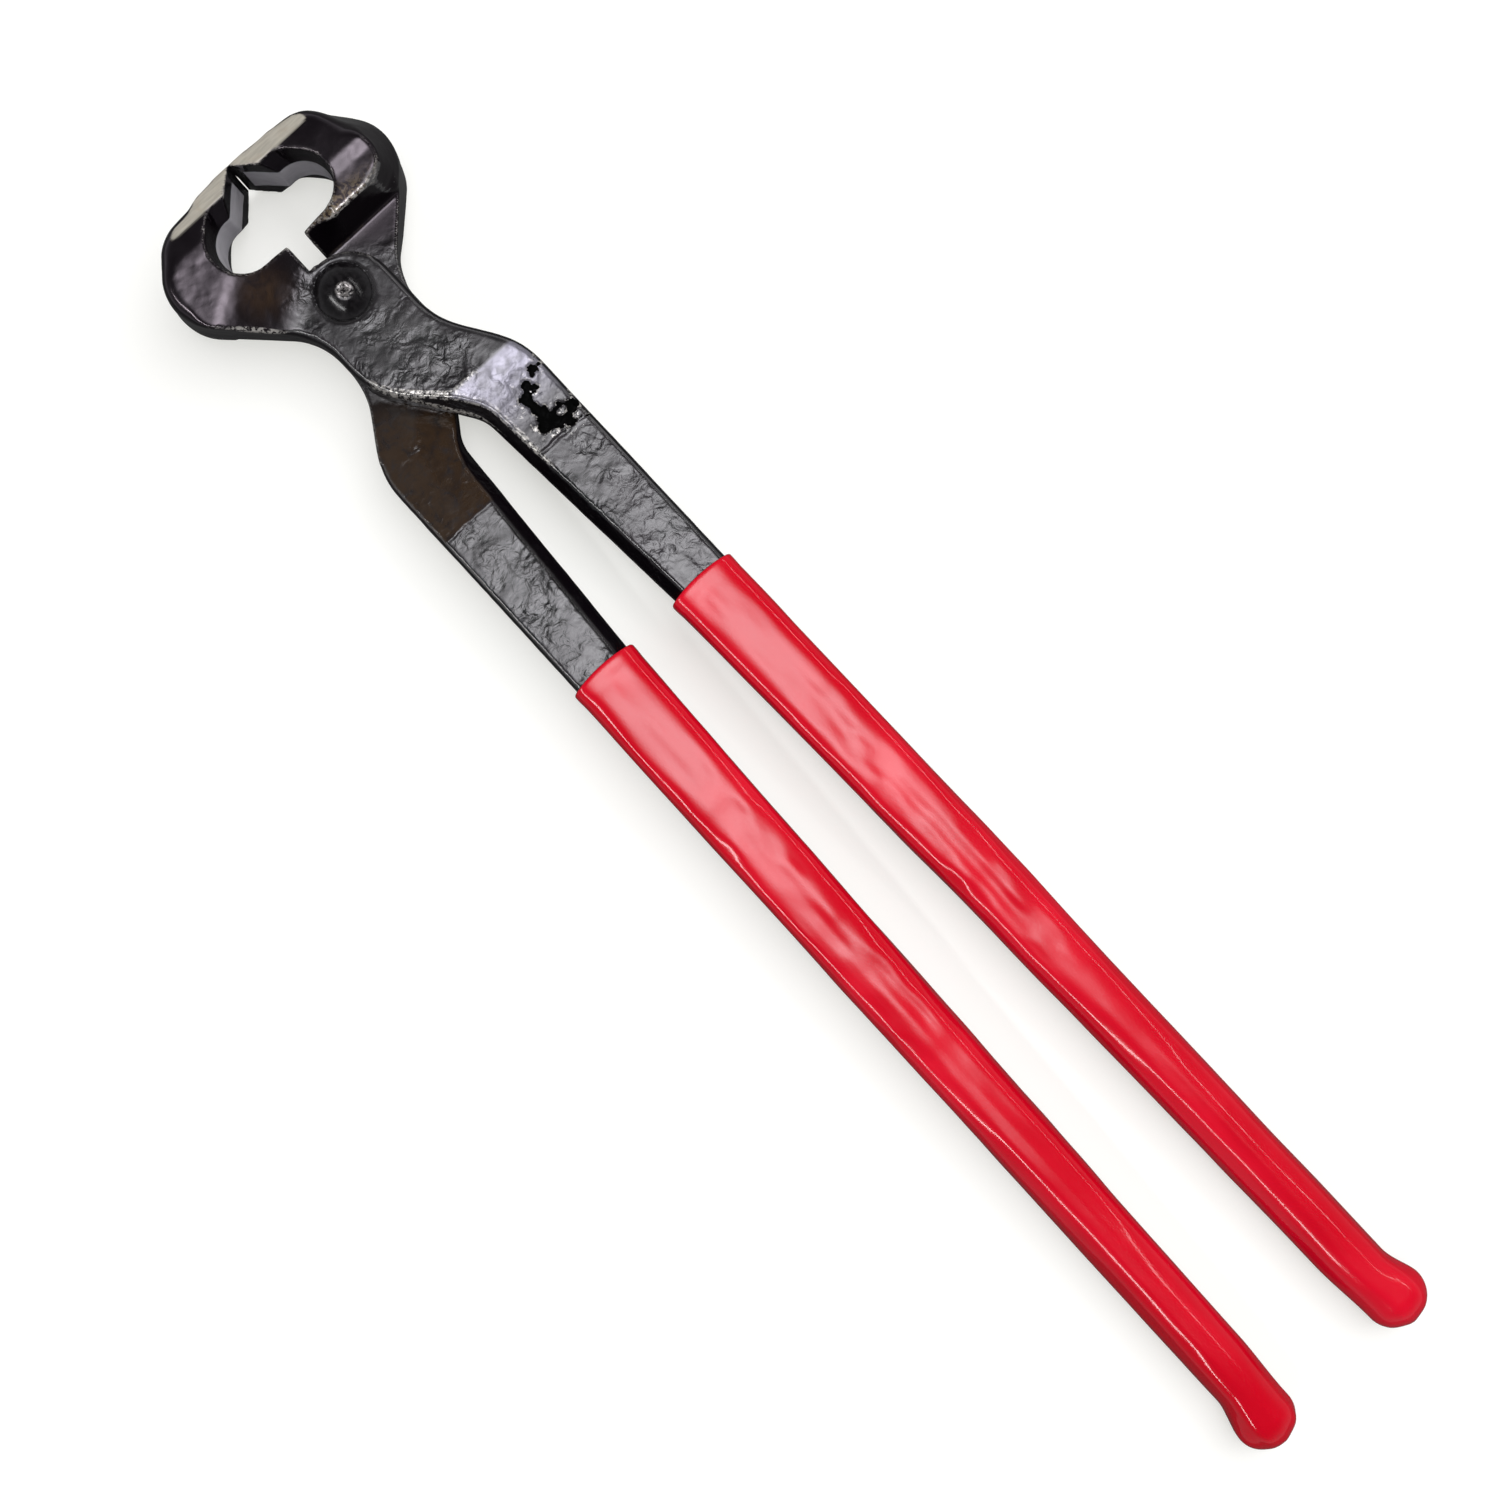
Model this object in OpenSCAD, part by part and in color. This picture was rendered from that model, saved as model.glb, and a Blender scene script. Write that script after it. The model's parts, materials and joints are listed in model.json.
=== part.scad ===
// End-cutting pincers: two identical forged levers crossed on one rivet, with dipped vinyl grips.
// The pivot frame has the rivet's axis as Z, the cutting edges towards +Y and the handles towards -Y.
// The upper lever has its jaw at -X and its handle at +X. The lower lever is the same forging turned
// half a turn about Y, so every lever and grip is drawn once.

/* [Head] */
// Width over both jaws
head_w = 63.8; // [60:0.1:68]
// Distance from the rivet's axis to the cutting edges
edge_y = 38.1; // [37:0.1:40]
// Radius of each jaw's outer back
jaw_r = 12.1; // [11.5:0.1:12.6]
// Radius of each jaw's front corner
corner_r = 11.6; // [10.5:0.1:12]
// Height of the whole head along the rivet's axis
head_h = 26.8; // [25:0.1:30]
// Length of the cutting edges along the rivet's axis
edge_h = 21.6; // [20:0.1:24]
// Length of the ground cheek behind the cutting edges
cheek_l = 5.2; // [4:0.1:6]
// Gap left between the closed cutting edges
edge_gap = 0.3; // [0.1:0.05:0.6]
// Length of the opening behind the blades, across both jaws
opening_l = 32.2; // [30:0.1:34]
// Height of the opening behind the blades, along Y
opening_w = 14.2; // [13:0.1:15]
// Distance from the rivet's axis to the opening
opening_y = 16.3; // [16:0.1:17]
// Width of the slot between the two jaws' roots
slot_w = 5.0; // [4:0.1:6]
// Distance from the rivet's axis to the shoulder that the other lever turns against
shoulder_y = 10.7; // [10.5:0.1:11.5]

/* [Lap joint] */
// Thickness of one lever at the lap
lap_t = 8.0; // [7:0.1:9]
// Gap between the two lapped faces
lap_gap = 0.1; // [0.05:0.01:0.2]
// Width of the neck, which is also the diameter of the lap's round end
neck_w = 23.2; // [22:0.1:24]

/* [Rivet] */
// Radius of the rivet's shank
shank_r = 5.0; // [4:0.1:5.5]
// Running clearance of the shank in its holes, and of the heads on the laps
shank_clear = 0.05; // [0.02:0.01:0.1]
// Radius of each domed rivet head
rivet_head_r = 6.7; // [6.2:0.1:7.5]
// Height of each domed rivet head
rivet_head_h = 3.4; // [2.5:0.1:4]

/* [Handles] */
// Distance from the rivet's axis to the ends of the grips
handle_y = 342.2; // [330:0.1:360]
// Thickness of each handle bar
bar_t = 9.5; // [8:0.1:11]
// Distance from the rivet's axis to the mouths of the grips
grip_y = 104; // [95:1:120]
// Wall thickness of the dipped vinyl
grip_wall = 1.25; // [0.8:0.05:1.6]

/* [Hidden] */

arc_step = 9;                  // largest turn of one flat along a rounded outline, in degrees
over = 1;                      // how far a cutting shape runs past what it cuts
span = 80;                     // wider than both levers
$fn = 64;

jaw_x = head_w / 2;
jaw_h = head_h / 2;
jaw_centre = [-(jaw_x - jaw_r), edge_y - 16.1];
corner_centre = [-15.5, edge_y - corner_r];
neck_x = neck_w / 2;
lap_centre = [0, -2.6];        // the lap's round end is centred a little behind the rivet
flank = jaw_centre - jaw_r * [cos(45), sin(45)];   // the 45 degree flank leaves the jaw's back here
waist = [-neck_x, flank.y + flank.x + neck_x];     // and would meet the neck's side here
waist_r = 17;                  // the fillet between the flank and the neck
root = waist + 5.3 * [-1, 1];  // the jaw is drawn on its own above this point

opening_r = opening_w / 2;
opening_top = opening_y + opening_w;
opening_centre = [-(opening_l / 2 - opening_r), opening_y + opening_r];
slope_z = 6;                   // the opening's walls lean outwards beyond this height
slope_r = opening_r + 0.9;     // radius of the opening's ends at the top of that lean

cheek_h = jaw_h - 0.5;         // height at the back of the ground cheek
dome_y = 28.8;                 // the side that carries on from the lap falls in front of this line
crest_y = 22.2;                // and the shoulder's side in front of this one
rise_turn = 32;                // the jaw rises from the lap in this direction from +Y, in degrees
rise_0 = 14;                   // the rise starts this far from the rivet's axis
rise_1 = 25;                   // and reaches the jaw's full height here
horn_x = -11;                  // the shoulder's side falls to the tip of its horn from here
horn_slope = 0.5;              // by this much for each mm
shoulder_lean = 2.2;           // how far the shoulder leans back over its height
side_z = 2;                    // the jaw's outer side stands upright up to this height
lap_side_lean = 1;             // then leans in by this much towards the side with the lap
back_lean = 4.9;               // and by this much towards the side with the shoulder
corner_lean = 1.6;             // but the front corner leans in by less

step_y0 = -34;                 // the lap's outer face starts to slope towards the handle bar here
inner_y0 = -39;                // its inner face starts behind the crotch
step_y1 = -58.5;               // and both have reached the bar's thickness here
crotch = [3.8, -42.3];         // where the lap's inner edge turns into the bar's inner edge
hip = [22.9, -35.8];           // where the neck's outer edge turns into the bar's outer edge

head_seat = lap_t + shank_clear;   // height of each rivet head's underside

bar_in = 7.8;                  // X of the bar's inner edge at the grip's mouth
tail_in = 13.9;                // X of the bar's inner edge at its end
tail_out = 24.7;               // X of the bar's outer edge where the end curls out
tail_tip = 27.4;               // X of the curled end
tail_y = -(handle_y - grip_wall);
curl_y = tail_y + 15;          // Y where the outer edge starts to curl

pivot_place = [0, (handle_y - edge_y) / 2, jaw_h];   // puts the origin under the middle of the tool

// ---- outlines: a corner is [x, y, fillet radius] ----

function unit(v) = v / norm(v);
function point(c) = [c.x, c.y];
function turn(from, to) = let (d = to - from) d > 180 ? d - 360 : d < -180 ? d + 360 : d;
function steps(sweep) = max(2, ceil(abs(sweep) / arc_step));

function arc(centre, r, from, sweep) = let (n = steps(sweep))
    [for (i = [0:n]) centre + r * [cos(from + sweep * i / n), sin(from + sweep * i / n)]];

function fillet(before, corner, after) = let (
        p = point(corner),
        r = corner[2],
        u = unit(point(before) - p),
        v = unit(point(after) - p),
        half = acos(u * v) / 2,
        centre = p + unit(u + v) * r / sin(half),
        start = p + u * r / tan(half) - centre,
        end = p + v * r / tan(half) - centre,
        from = atan2(start.y, start.x))
    arc(centre, r, from, turn(from, atan2(end.y, end.x)));

function rounded(c) = let (n = len(c))
    [for (i = [0:n - 1])
        each c[i][2] == 0 ? [point(c[i])] : fillet(c[(i + n - 1) % n], c[i], c[(i + 1) % n])];

// The handle bar's curled end, grown on all sides by out. It runs from the inner edge to the outer.
function tail(out) = [
    [tail_in - out, tail_y - out, 8 + out],
    [tail_tip + out, tail_y - out, 5 + out],
    [tail_tip + out, tail_y + 8, 4 + out],
    [tail_out + out, curl_y, 8 - out]];

// ---- upper lever ----

// The lever's outline from the jaw's root to the end of the handle bar, and the lap's round end.
module lever_plan() {
    translate(lap_centre) circle(neck_x);
    polygon(rounded(concat(
        [[root.x, root.y, 0],
         [waist.x, waist.y, waist_r],
         [-neck_x, -20.7, 20],
         [crotch.x, crotch.y, 10],
         [bar_in, -grip_y, 0]],
        tail(0),
        [[hip.x, hip.y, 20],
         [neck_x, -18.1, 20],
         [neck_x, lap_centre.y, 0]])));
}

// A stretch of the jaw's back: upright in the middle of its height, leaning in above and below.
module jaw_back(centre, r, lean) translate(centre) {
    cylinder(h = 2 * side_z, r = r, center = true, $fn = 48);
    cylinder(h = jaw_h, r = r - lap_side_lean, $fn = 48);
    translate([0, 0, -jaw_h]) cylinder(h = jaw_h, r = r - lean, $fn = 48);
}

module jaw_post(x, y) translate([x, y, -jaw_h]) cube([0.01, 0.01, head_h]);

// The jaw before it is shaped from the side.
module jaw() difference() {
    hull() {
        jaw_back(jaw_centre, jaw_r, back_lean);
        jaw_back(corner_centre, corner_r, corner_lean);
        jaw_post(-edge_gap / 2 - 0.01, edge_y - 0.01);
        jaw_post(-slot_w / 2, lap_centre.y);
        jaw_post(root.x, root.y);
    }
    linear_extrude(head_h + over, center = true) jaw_opening();
    on_both_sides() opening_cut();
}

// The opening behind the blades, the 45 degree bevel in front of it and the slot behind it.
module jaw_opening() {
    translate(opening_centre) circle(opening_r);
    polygon([
        [opening_centre.x, opening_y],
        [over, opening_y],
        [over, edge_y + over + edge_gap / 2],
        [-(edge_y - opening_top) - edge_gap / 2, opening_top],
        [opening_centre.x, opening_top]]);
    translate([-slot_w / 2, lap_centre.y]) square([slot_w, opening_y - lap_centre.y + over]);
}

// The lever seen from the side, as [y, z]: jaw, lap and handle bar.
module lever_side() let (fall = (cheek_h - edge_h / 2) / cheek_l * over)
    rotate([90, 0, 90]) linear_extrude(span, center = true) polygon([
        [edge_y + over, edge_h / 2 - fall],
        [edge_y - cheek_l, cheek_h],
        [dome_y, jaw_h],
        [0, jaw_h],
        [0, lap_t],
        [step_y0, lap_t],
        [step_y1, bar_t / 2],
        [tail_y - over, bar_t / 2],
        [tail_y - over, -bar_t / 2],
        [step_y1, -bar_t / 2],
        [inner_y0, lap_gap / 2],
        [shoulder_y, lap_gap / 2],
        [shoulder_y + shoulder_lean, -jaw_h],
        [crest_y, -jaw_h],
        [edge_y - cheek_l, -cheek_h],
        [edge_y + over, -edge_h / 2 + fall]]);

// Lowers the head's face to the lap's, with a slope between the lap and the jaw.
module rise_cut() rotate(rise_turn) rotate([90, 0, 90]) linear_extrude(span, center = true)
    polygon([
        [-span, lap_t],
        [rise_0, lap_t],
        [rise_1, jaw_h],
        [rise_1, jaw_h + over],
        [-span, jaw_h + over]]);

// Slopes the shoulder's side down to the tip of its horn.
module horn_cut() rotate([90, 0, 0]) translate([0, 0, -opening_centre.y])
    linear_extrude(opening_centre.y) polygon([
        [horn_x, -jaw_h],
        [over, -jaw_h + horn_slope * (over - horn_x)],
        [over, -jaw_h - over],
        [horn_x, -jaw_h - over]]);

// Leans the opening's wall outwards towards its top.
module opening_cut() hull() {
    for (x = [opening_centre.x, 0])
        translate([x, opening_centre.y, slope_z]) cylinder(h = 0.01, r = opening_r, $fn = 32);
    for (x = [opening_centre.x, 0])
        translate([x, opening_y + slope_r, jaw_h + over]) cylinder(h = 0.01, r = slope_r, $fn = 32);
}

module on_both_sides() {
    children();
    mirror([0, 0, 1]) children();
}

module lever() difference() {
    intersection() {
        union() {
            linear_extrude(head_h + over, center = true) lever_plan();
            jaw();
        }
        lever_side();
    }
    rise_cut();
    horn_cut();
    cylinder(h = head_h, r = shank_r + shank_clear, center = true);
}

// ---- grip: a closed vinyl sleeve over the handle bar ----

module handle_block(out) linear_extrude(bar_t + 2 * out, center = true) polygon(rounded(concat(
    [[hip.x + (tail_out - hip.x) * (grip_y + hip.y) / (-curl_y + hip.y) + out, -grip_y, 0],
     [bar_in - out, -grip_y, 0]],
    tail(out))));

module grip() difference() {
    handle_block(grip_wall);
    handle_block(0);
}

// ---- rivet: a shank with a domed head closed over each lever ----

module rivet_head() let (ball_r = (rivet_head_r ^ 2 + rivet_head_h ^ 2) / (2 * rivet_head_h))
    translate([0, 0, head_seat]) intersection() {
        translate([0, 0, rivet_head_h - ball_r]) sphere(r = ball_r);
        cylinder(h = rivet_head_h + over, r = rivet_head_r + over);
    }

module rivet() {
    cylinder(h = 2 * head_seat, r = shank_r, center = true);
    on_both_sides() rivet_head();
}

// ---- nodes ----

module other_side() rotate([0, 180, 0]) children();

module upper_lever() color([0.10, 0.09, 0.10]) translate(pivot_place) lever();
module lower_lever() color([0.10, 0.09, 0.10]) translate(pivot_place) other_side() lever();
module pivot_rivet() color([0.07, 0.07, 0.07]) translate(pivot_place) rivet();
module upper_grip() color([0.80, 0.03, 0.08]) translate(pivot_place) grip();
module lower_grip() color([0.80, 0.03, 0.08]) translate(pivot_place) other_side() grip();

upper_lever();
lower_lever();
pivot_rivet();
upper_grip();
lower_grip();
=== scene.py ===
"""Looks of the end-cutting pincers: two forged levers, a rivet and two dipped vinyl grips.

Shapes are worked out in millimetres in the pivot frame (the rivet's axis is Z, the cutting edges are
towards +Y) and placed in the row frame in metres. The lower lever and its grip are the upper ones turned
half a turn about Y.
"""

import json
import math

import bpy
import numpy as np
import openvdb
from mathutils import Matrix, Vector


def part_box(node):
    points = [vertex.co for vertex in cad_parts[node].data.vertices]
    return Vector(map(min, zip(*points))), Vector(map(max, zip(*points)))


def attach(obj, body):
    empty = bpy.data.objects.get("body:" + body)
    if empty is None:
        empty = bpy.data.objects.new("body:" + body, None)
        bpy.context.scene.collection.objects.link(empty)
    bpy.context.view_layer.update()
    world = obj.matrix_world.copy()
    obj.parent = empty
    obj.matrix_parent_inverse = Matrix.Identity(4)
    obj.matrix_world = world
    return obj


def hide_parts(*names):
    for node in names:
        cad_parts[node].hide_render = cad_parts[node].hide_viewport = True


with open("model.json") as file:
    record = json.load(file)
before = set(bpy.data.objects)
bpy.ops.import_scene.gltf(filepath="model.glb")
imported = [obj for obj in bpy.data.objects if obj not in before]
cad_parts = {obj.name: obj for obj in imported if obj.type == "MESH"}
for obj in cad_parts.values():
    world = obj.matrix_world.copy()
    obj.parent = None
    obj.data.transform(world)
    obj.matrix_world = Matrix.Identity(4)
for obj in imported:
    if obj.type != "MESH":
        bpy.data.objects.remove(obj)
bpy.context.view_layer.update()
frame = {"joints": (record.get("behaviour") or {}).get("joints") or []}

# ---- sizes taken from the frame, in mm in the pivot frame ----

MM = 0.001
PIVOT = np.array(frame["joints"][0]["pos_m"])


def pivot_box(node):
    """Lowest and highest corner of a CAD node in the pivot frame, in mm."""
    return [(np.array(corner) - PIVOT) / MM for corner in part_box(node)]


lever_low, lever_high = pivot_box("upper_lever")
grip_low, grip_high = pivot_box("upper_grip")
rivet_high = pivot_box("pivot_rivet")[1]

JAW_X = -lever_low[0]          # half the head's width
EDGE_Y = lever_high[1]         # cutting edges
JAW_H = lever_high[2]          # half the head's height
BAR_END = lever_low[1]         # end of the handle bar
MOUTH_Y = grip_high[1]         # mouth of the grip
GRIP_END = grip_low[1]         # closed end of the grip
GRIP_H = grip_high[2]          # half the grip's thickness
GRIP_OUT = grip_high[0]        # outermost point of the grip's curled end
HEAD_R = rivet_high[0]         # radius of the rivet's head
HEAD_TOP = rivet_high[2]       # top of the rivet's dome

# ---- sizes of the forging, in mm ----

LAP_T = 8.0                    # thickness of one lever at the lap
LAP_GAP = 0.1                  # clearance between the two laps
NECK_X = 11.6                  # half the neck's width and the radius of the lap's round end
LAP_CENTRE = (0.0, -2.6)       # middle of the lap's round end
BORE_R = 5.05                  # radius of the rivet's hole
BAR_H = 4.75                   # half the handle bar's thickness
EDGE_H = 10.8                  # half the length of the cutting edge
CHEEK_SLOPE = 0.404            # how fast the ground cheek rises behind the edge
CREST_Y = 22.2                 # crest of the jaw's shoulder side
DOME_Y = 28.8                  # crest of the jaw's flat side
SHOULDER_Y = 10.7              # the shoulder that the other lever turns against
SLOT_X = 2.5                   # half the slot between the jaws' roots
JAW_R = 12.1                   # rounding of the jaw's outer side
JAW_CENTRE = (-(JAW_X - JAW_R), EDGE_Y - 16.1)
CORNER_R = 11.6                # rounding of the jaw's front corner
CORNER_CENTRE = (-17.2, EDGE_Y - 12.1)
PAST_X = 6.0                   # outlines run this far past the gap before it is cut
OPENING_X = 16.1               # half the width of the opening behind the blades
OPENING_Y = 16.3               # back of the opening
OPENING_R = 7.1                # rounding of the opening's ends
FLARE_Z = 6.0                  # the opening widens beyond this height
FLARE_BACK = 0.12              # by this much for each mm of height behind
FLARE_FRONT = 0.38             # and by this much in front
TOUCH_Y, PART_Y = 36.2, 34.4   # the closed blades touch in front and are a hair apart behind
PART_GAP = 0.2                 # that hair, for each blade
LOWER_EDGE_GAP = 0.12          # distance from the middle to the lower part of each cutting edge
STEP_Y0, STEP_Y1 = -34.0, -57.6   # the lap slopes to the bar's thickness between these
BAR_IN, CROTCH_Y = 3.8, -42.3     # the bar's inner edge at the crotch
REST_Y = EDGE_Y - 16           # the head rests on the floor here
UNDER_GRIP = 0.4               # the bar is this much slimmer inside its grip
UNDER_CURL = 1.2               # and by this much more in the grip's curled end

# ---- sizes of the grips and the rivet, in mm ----

WALL = 1.2                     # thickness of the vinyl
LIP = 0.1                      # how far the grip's mouth swells
CAP_R = 7.3                    # length of the grip's rounded end
WAVY_Y = (-128, -150, -205, -245)   # the flat faces get wavy, are wavy, and are plain again
KINK = (15.5, -152.0)          # middle of the crease in the upper grip
CROWN = (0.3, -0.9)            # middle of the bare, hammered spot on the rivet's dome

AROUND = 96                    # points round a ring of the grips and the rivet
SEED = 7


# ---- small maths ----

def smoothstep(a, b, x):
    """0 at a, 1 at b, with no corners between; b may be below a."""
    t = np.clip((x - a) / (b - a), 0, 1)
    return t * t * (3 - 2 * t)


def mix(a, b, t):
    return a + (b - a) * t


def soft_min(a, b, k):
    """The smaller of two fields, blended where they are within k of each other."""
    h = np.clip(0.5 + 0.5 * (b - a) / k, 0, 1)
    return mix(b, a, h) - k * h * (1 - h)


def soft_max(a, b, k):
    return -soft_min(-a, -b, k)


NOISE_TABLE = np.random.default_rng(SEED).random(4096) * 2 - 1


def noise(points, size, seed=0):
    """Smooth value noise from -1 to 1 on an (n, 3) array, with lumps of about the given size.

    The eight corners of each point's cell look up a value each, by primes that scramble their places.
    """
    p = points / size + seed * 17.3
    cell = np.floor(p).astype(np.int64)
    t = p - cell
    t = t * t * t * (t * (t * 6 - 15) + 10)
    total = np.zeros(len(points))
    for corner in range(8):
        step = np.array([corner & 1, corner >> 1 & 1, corner >> 2 & 1])
        q = cell + step
        key = (q[:, 0] * 73856093) ^ (q[:, 1] * 19349663) ^ (q[:, 2] * 83492791) ^ (seed * 2654435)
        weight = np.prod(np.where(step == 1, t, 1 - t), axis=1)
        total += weight * NOISE_TABLE[key & 4095]
    return total


def layered_noise(points, size, seed=0, layers=3):
    return sum(noise(points, size / 2 ** i, seed + i) / 2 ** i for i in range(layers))


# ---- outlines: a corner is (x, y, fillet radius) ----

def arc(centre, r, start, sweep, step=4.0):
    """Points along an arc; start, sweep and step are in degrees."""
    n = max(2, math.ceil(abs(sweep) / step))
    turns = [math.radians(start + sweep * i / n) for i in range(n + 1)]
    return [(centre[0] + r * math.cos(a), centre[1] + r * math.sin(a)) for a in turns]


def fillet(before, corner, after):
    """The arc that rounds a corner between its two neighbours."""
    p, r = np.array(corner[:2]), corner[2]
    u = np.array(before[:2]) - p
    v = np.array(after[:2]) - p
    u, v = u / np.linalg.norm(u), v / np.linalg.norm(v)
    half = math.acos(float(u @ v)) / 2
    middle = (u + v) / np.linalg.norm(u + v)
    centre = p + middle * r / math.sin(half)
    a, b = (p + w * r / math.tan(half) - centre for w in (u, v))
    start = math.degrees(math.atan2(a[1], a[0]))
    sweep = (math.degrees(math.atan2(b[1], b[0])) - start + 180) % 360 - 180
    return arc(centre, r, start, sweep)


def rounded(corners):
    points = []
    for i, corner in enumerate(corners):
        if corner[2] == 0:
            points.append(corner[:2])
        else:
            points += fillet(corners[i - 1], corner, corners[(i + 1) % len(corners)])
    return points


def sharp(points):
    """Points as corners without a fillet."""
    return [(x, y, 0) for x, y in points]


def outline_distance(x, y, points):
    """Signed distance, negative inside, from each (x, y) to a closed outline."""
    best = np.full(np.broadcast(x, y).shape, np.inf)
    inside = np.zeros(best.shape, bool)
    for i, (x0, y0) in enumerate(points):
        x1, y1 = points[(i + 1) % len(points)]
        ex, ey = x1 - x0, y1 - y0
        length2 = ex * ex + ey * ey
        if length2 < 1e-12:
            continue
        t = np.clip(((x - x0) * ex + (y - y0) * ey) / length2, 0, 1)
        best = np.minimum(best, (x - x0 - ex * t) ** 2 + (y - y0 - ey * t) ** 2)
        if y0 != y1:
            inside ^= ((y0 <= y) != (y1 <= y)) & (x < x0 + (y - y0) * ex / ey)
    return np.sqrt(best) * np.where(inside, -1, 1)


def lever_outline():
    """The whole lever from above: jaw, neck, inner edge of the bar, curled end, outer edge, lap."""
    reach = JAW_R * math.sqrt(0.5)
    flank = (JAW_CENTRE[0] - reach, JAW_CENTRE[1] - reach)
    waist = (-NECK_X, flank[1] + flank[0] + NECK_X)
    return rounded(
        [(PAST_X, EDGE_Y + 1.2, 0)]
        + sharp(arc(CORNER_CENTRE, CORNER_R, 92, 49))
        + sharp(arc(JAW_CENTRE, JAW_R, 141, 84))
        + [
            (*waist, 17),
            (-NECK_X, -20.7, 20),
            (BAR_IN, CROTCH_Y, 10),
            (7.8, MOUTH_Y, 0),
            (13.9, BAR_END, 8),
            (27.4, BAR_END, 5),
            (27.4, BAR_END + 8, 4),
            (24.7, BAR_END + 15, 8),
            (22.9, -35.8, 20),
            (NECK_X, -18.1, 20),
        ]
        + sharp(arc(LAP_CENTRE, NECK_X, 0, 90))
        + [(PAST_X, OPENING_Y - 4, 0)]
    )


def opening_distance(x, y, z):
    """Distance to the opening behind the blades: upright in its middle, wider above and below."""
    along = np.maximum(np.abs(x) - (OPENING_X - OPENING_R), 0)
    across = y - OPENING_Y - OPENING_R
    reach = np.hypot(along, across)
    forwards = np.clip(across / np.maximum(reach, 0.1), 0, 1) ** 10
    flare = np.maximum(np.abs(z) - FLARE_Z, 0) * mix(FLARE_BACK, FLARE_FRONT, forwards)
    return reach - OPENING_R - flare


# ---- the forging as a field: about the distance to its skin, negative inside the steel ----

def jaw_turn(x, y):
    """Direction seen from the middle of the jaw, in degrees: 90 ahead, 0 outwards, -45 at the flank."""
    return np.degrees(np.arctan2(y - JAW_CENTRE[1], JAW_CENTRE[0] - x))


def jaw_share(x, y):
    """1 round the outside of the jaw, 0 elsewhere."""
    return smoothstep(-9, -14, x) * smoothstep(0, 5, y)


def lean_of_sides(x, y, z):
    """How far the sides lean in for each mm of height: most round the back of the shoulder side."""
    turn = jaw_turn(x, y)
    flat = 0.01 + 0.07 * smoothstep(-55, -10, turn)
    shoulder = mix(0.24, 0.40, smoothstep(-60, 10, turn)) * smoothstep(105, 35, turn)
    return mix(0.05, np.where(z > 0, flat, shoulder), jaw_share(x, y))


def flat_side_height(x, y):
    """Height of the side that carries on from the lap, over the whole lever."""
    dome = JAW_H - 0.06 * np.clip(DOME_Y - y, 0, 20) - 0.16 * soft_max(y - DOME_Y, 0, 2)
    lap = mix(LAP_T, BAR_H, np.clip((STEP_Y0 - y) / (STEP_Y0 - STEP_Y1), 0, 1))
    return mix(lap, dome, smoothstep(6, 26, 0.85 * y - 0.53 * x))


def shoulder_side_height(x, y):
    """Height of the jaw's other side: it falls from its crest, and towards the tip of its horn."""
    behind = 0.5 * smoothstep(CREST_Y + 0.5, CREST_Y - 4, y) + 0.015 * np.clip(CREST_Y - y, 0, 15)
    crest = JAW_H - 0.06 * soft_max(y - CREST_Y, 0, 0.8) - behind
    horn = 0.5 * np.maximum(11 + x, 0) * smoothstep(22, 15, y) * smoothstep(4, 8, y)
    bar = smoothstep(0, -20, y)
    return mix(crest, LAP_T, bar) - horn


def inner_share(x, y, start):
    """1 along the inner side of the handle bar, from start down, and 0 on its outer side."""
    middle = 14.0 * smoothstep(-18, -42, y)
    return smoothstep(middle + 1, middle - 1, x) * smoothstep(start, start - 12, y)


def blank_distance(x, y, z, sides, top):
    """The forging before anything is cut from it: its outline between its two faces, edges rounded."""
    k_flat = mix(0.9, 3.4, jaw_share(x, y) * smoothstep(-50, -10, jaw_turn(x, y)))
    k_shoulder = mix(0.9, 4.0, jaw_share(x, y) * smoothstep(21, 27, y))
    body = soft_max(sides, top, k_flat)
    return soft_max(body, -z - shoulder_side_height(x, y), k_shoulder)


def underside_height(x, y):
    """Height of the lap's running face, and of the underside of the slope and the bar behind it."""
    start = np.clip(1.4 * (x - NECK_X), -17, 0) - 22     # just clear of the other lever
    return mix(LAP_GAP / 2, -BAR_H, np.clip((start - y) / (start - STEP_Y1), 0, 1))


def with_room_for_other_lever(body, x, y, z, under):
    """Cuts away what is under the lap, as far forwards as the shoulder."""
    lean = mix(0.5, 0.16, smoothstep(-3, -11, x))
    room = soft_max(z - under, y - SHOULDER_Y + lean * z, 0.8)
    return soft_max(body, -room, mix(0.5, 3.0, smoothstep(-19, -25, x) * smoothstep(-1, -5, z)))


def chamfered(body, x, y, sides, top, bottom):
    """Chamfers along both faces: narrow round the neck, wide along the inner side of the bar."""
    behind_jaw = smoothstep(6, 0, y)
    wide = mix(0.8, 2.7, inner_share(x, y, -25)) - 3 * (1 - behind_jaw)
    body = soft_max(body, (sides + 0.75 * top + wide) * 0.8, 0.5)
    wide = mix(0.8, 2.7, inner_share(x, y, -38)) - 40 * smoothstep(-34, -28, y)
    return soft_max(body, (sides + 0.75 * bottom + wide) * 0.8, 0.5)


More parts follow.
